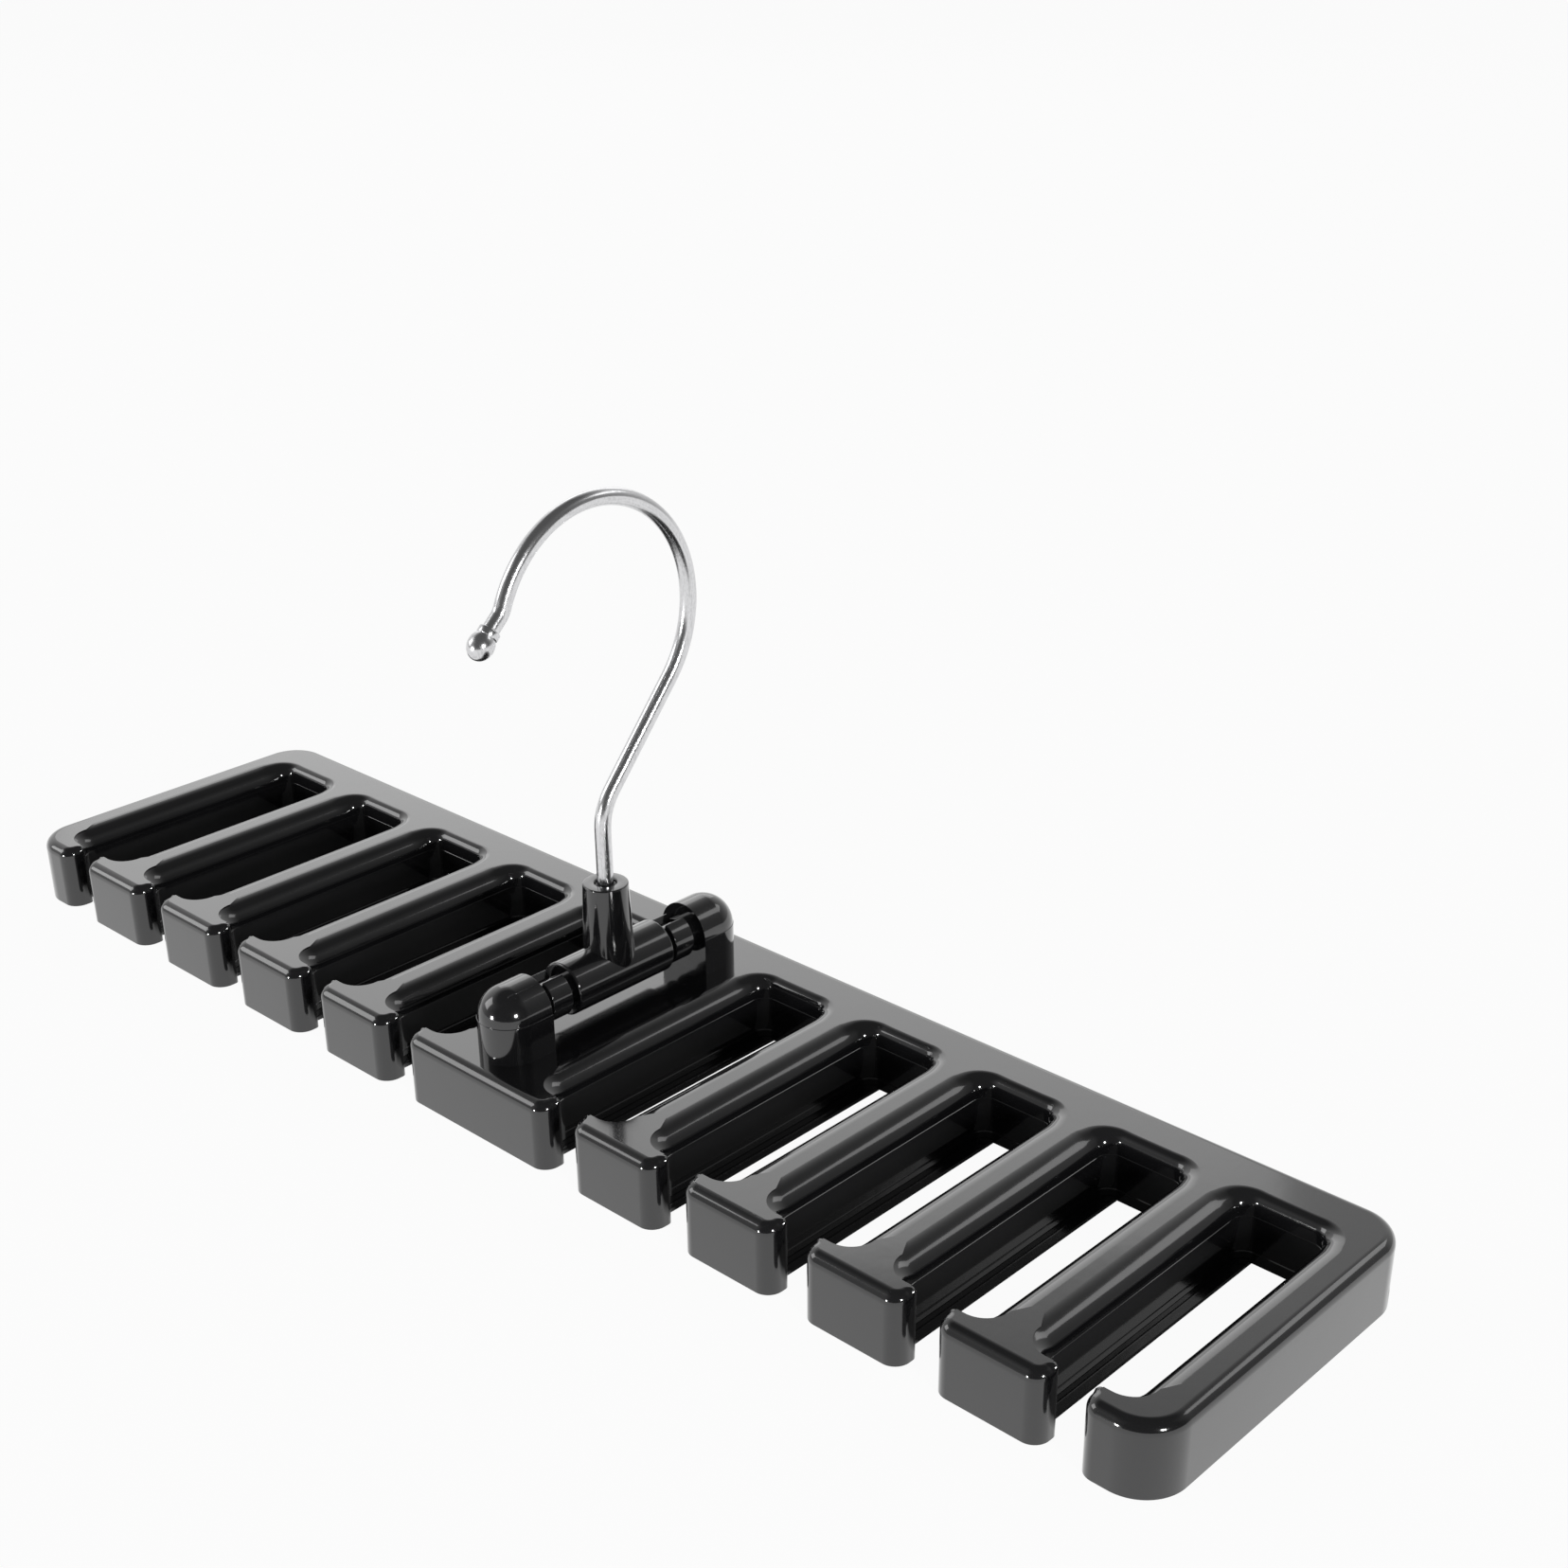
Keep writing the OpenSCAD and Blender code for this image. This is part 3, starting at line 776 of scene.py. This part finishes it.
def buildYoke():
    centre = (0, post["hingeY"] * mm, post["axisZ"] * mm)
    lying = (math.radians(90), 0, 0)
    barrel = roundBar("yokeBody", 192, yoke["barrelRadius"], yoke["barrelLength"], centre, lying,
                      yoke["barrelEdge"], 4)
    axle = roundBar("axle", 96, yoke["axleRadius"], yoke["axleLength"], centre, lying, yoke["axleEdge"], 2)
    startPiece()
    height = yoke["bossHeight"] * mm
    topZ = centre[2] + height
    bpy.ops.mesh.primitive_cone_add(vertices=160, radius1=yoke["bossBase"] * mm,
                                    radius2=yoke["bossTop"] * mm, depth=height,
                                    location=(0, centre[1], centre[2] + height / 2))
    boss = takePiece("boss")
    bpy.ops.object.mode_set(mode='EDIT')
    # the ring and the hole are set into the top
    selectVerts(boss, lambda v: v.z > topZ - tiny)
    bpy.ops.mesh.select_mode(type='FACE')
    for radius, before, depth in ((yoke["ringRadius"], yoke["bossTop"], yoke["ringDepth"]),
                                  (yoke["holeRadius"], yoke["ringRadius"], yoke["holeDepth"])):
        bpy.ops.mesh.inset(thickness=(before - radius) * mm, depth=0)
        bpy.ops.mesh.extrude_region_move(TRANSFORM_OT_translate={"value": (0, 0, -depth * mm)})
    bpy.ops.object.mode_set(mode='OBJECT')
    closeUp(boss)
    softenEdges(boss, yoke["bossEdge"] * mm, 4)
    applyAll(boss)
    joinPieces(barrel, [axle, boss])
    finishPiece(barrel, "yoke", plastic, ["yoke"])


buildYoke()


# Hook: a ring of points is drawn up the shank, round the loop and out to the tip

hook = {
    "wire": 1.685, "headRadius": 3.0, "headHeight": 1.5, "headTop": 27.65,
    "shankTop": 54.0, "bendRadius": 12.0,
    "loopRadius": 24.5, "loopY": 1.05, "loopZ": 97.0, "loopEnd": 158.0,
    "tipRadius": 5.0, "tipFlare": 25.0, "tipRun": 2.6, "tipReach": 3.0,
    "capRadius": 2.6, "capLength": 6.4, "beadStart": 0.4,
    "collarRadius": 2.15, "collarLength": 1.5, "collarEdge": 0.25,
    "ringPoints": 48, "ringReach": 0.05,
}


def onCircle(centre, radius, angle):
    turn = math.radians(angle)
    return (centre[0] + radius * math.cos(turn), centre[1] + radius * math.sin(turn))


def hookPlan():
    # the centre line's fixed points, as distance from the shank and height
    reach, rise = hook["bendRadius"] - hook["loopY"], hook["loopZ"] - hook["shankTop"]
    span = math.hypot(reach, rise)
    plan = {}
    tangent = math.asin((hook["loopRadius"] + hook["bendRadius"]) / span)
    plan["lean"] = math.degrees(tangent - math.atan2(reach, rise))
    plan["loop"] = (hook["loopY"], hook["loopZ"])
    plan["bend"] = (hook["bendRadius"], hook["shankTop"])
    plan["bendEnd"] = onCircle(plan["bend"], hook["bendRadius"], 180 - plan["lean"])
    plan["loopStart"] = onCircle(plan["loop"], hook["loopRadius"], -plan["lean"])
    plan["loopStop"] = onCircle(plan["loop"], hook["loopRadius"], hook["loopEnd"])
    plan["tip"] = onCircle(plan["loopStop"], hook["tipRadius"], hook["loopEnd"])
    plan["tipEnd"] = onCircle(plan["tip"], hook["tipRadius"], hook["loopEnd"] + 180 - hook["tipFlare"])
    plan["heading"] = hook["loopEnd"] + 90 - hook["tipFlare"]
    plan["capMouth"] = onCircle(plan["tipEnd"], hook["tipRun"], plan["heading"])
    return plan


def inFrame(point):
    return Vector((0, (post["hingeY"] + point[0]) * mm, point[1] * mm))


def buildHookWire(plan):
    startPiece()
    footZ = (hook["headTop"] - hook["headHeight"]) * mm
    bpy.ops.mesh.primitive_circle_add(vertices=hook["ringPoints"], radius=hook["headRadius"] * mm,
                                      fill_type='NGON', location=(0, post["hingeY"] * mm, footZ))
    piece = takePiece("hookWire")
    bpy.ops.object.transform_apply(location=True, rotation=True, scale=True)
    bpy.ops.object.mode_set(mode='EDIT')
    bpy.ops.mesh.select_mode(type='VERT')

    def ringAt(point):
        middle = inFrame(point)
        found = selectVerts(piece, lambda v: (v - middle).length < (hook["wire"] + hook["ringReach"]) * mm)
        print("ring of", found, "points")

    def bendRound(centre, angle, step):
        # spin turns the way that a left hand's fingers close round the axis
        bpy.ops.mesh.spin(steps=max(int(abs(angle) / step), 2), angle=math.radians(abs(angle)),
                          center=inFrame(centre), axis=(math.copysign(1, -angle), 0, 0))

    def runOn(start, end):
        pushEdges(inFrame(end) - inFrame(start))

    # the upset head, which narrows to the wire
    bpy.ops.mesh.select_all(action='SELECT')
    pushEdges((0, 0, hook["headHeight"] * mm))
    selectVerts(piece, lambda v: v.z > hook["headTop"] * mm - tiny)
    pushEdges((0, 0, 0))
    narrow = hook["wire"] / hook["headRadius"]
    bpy.ops.transform.resize(value=(narrow, narrow, 1),
                             center_override=(0, post["hingeY"] * mm, hook["headTop"] * mm))
    pushEdges((0, 0, (hook["shankTop"] - hook["headTop"]) * mm))
    ringAt((0, hook["shankTop"]))
    bendRound(plan["bend"], -plan["lean"], 2.5)
    ringAt(plan["bendEnd"])
    runOn(plan["bendEnd"], plan["loopStart"])
    ringAt(plan["loopStart"])
    bendRound(plan["loop"], plan["lean"] + hook["loopEnd"], 1.5)
    ringAt(plan["loopStop"])
    bendRound(plan["tip"], -hook["tipFlare"], 2.5)
    ringAt(plan["tipEnd"])
    innerEnd = onCircle(plan["capMouth"], hook["tipReach"], plan["heading"])
    runOn(plan["tipEnd"], innerEnd)
    ringAt(innerEnd)
    bpy.ops.mesh.edge_face_add()
    bpy.ops.object.mode_set(mode='OBJECT')
    closeUp(piece)
    finishPiece(piece, "hook", chrome, ["hook_wire"])


def buildHookTip(plan):
    heading = math.radians(plan["heading"])
    lying = (heading - math.radians(90), 0, 0)
    length, radius, run = hook["capLength"], hook["capRadius"], hook["collarLength"]
    beadHalf = (length - hook["beadStart"]) / 2
    beadMiddle = inFrame(onCircle(plan["capMouth"], length - beadHalf, plan["heading"]))
    collarMiddle = inFrame(onCircle(plan["capMouth"], run / 2, plan["heading"]))
    startPiece()
    bpy.ops.mesh.primitive_uv_sphere_add(segments=64, ring_count=40, radius=radius * mm,
                                         location=beadMiddle, rotation=lying,
                                         scale=(1, 1, beadHalf / radius))
    bead = takePiece("hookTip")
    applyAll(bead)
    collar = roundBar("collar", 64, hook["collarRadius"], run, collarMiddle, lying, hook["collarEdge"], 3)
    joinPieces(bead, [collar])
    finishPiece(bead, "hook", chrome, ["hook_tip"])


hookLine = hookPlan()
buildHookWire(hookLine)
buildHookTip(hookLine)


# The pieces that stay as they are get their finish

keptPieces = {
    "rack_base": plastic,
    "front_post_screw": steel,
    "rear_post_screw": steel,
    "swivel_washer": steel,
}
for nodeName, material in keptPieces.items():
    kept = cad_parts[nodeName]
    kept.data.materials.clear()
    kept.data.materials.append(material)
print("kept pieces are finished")
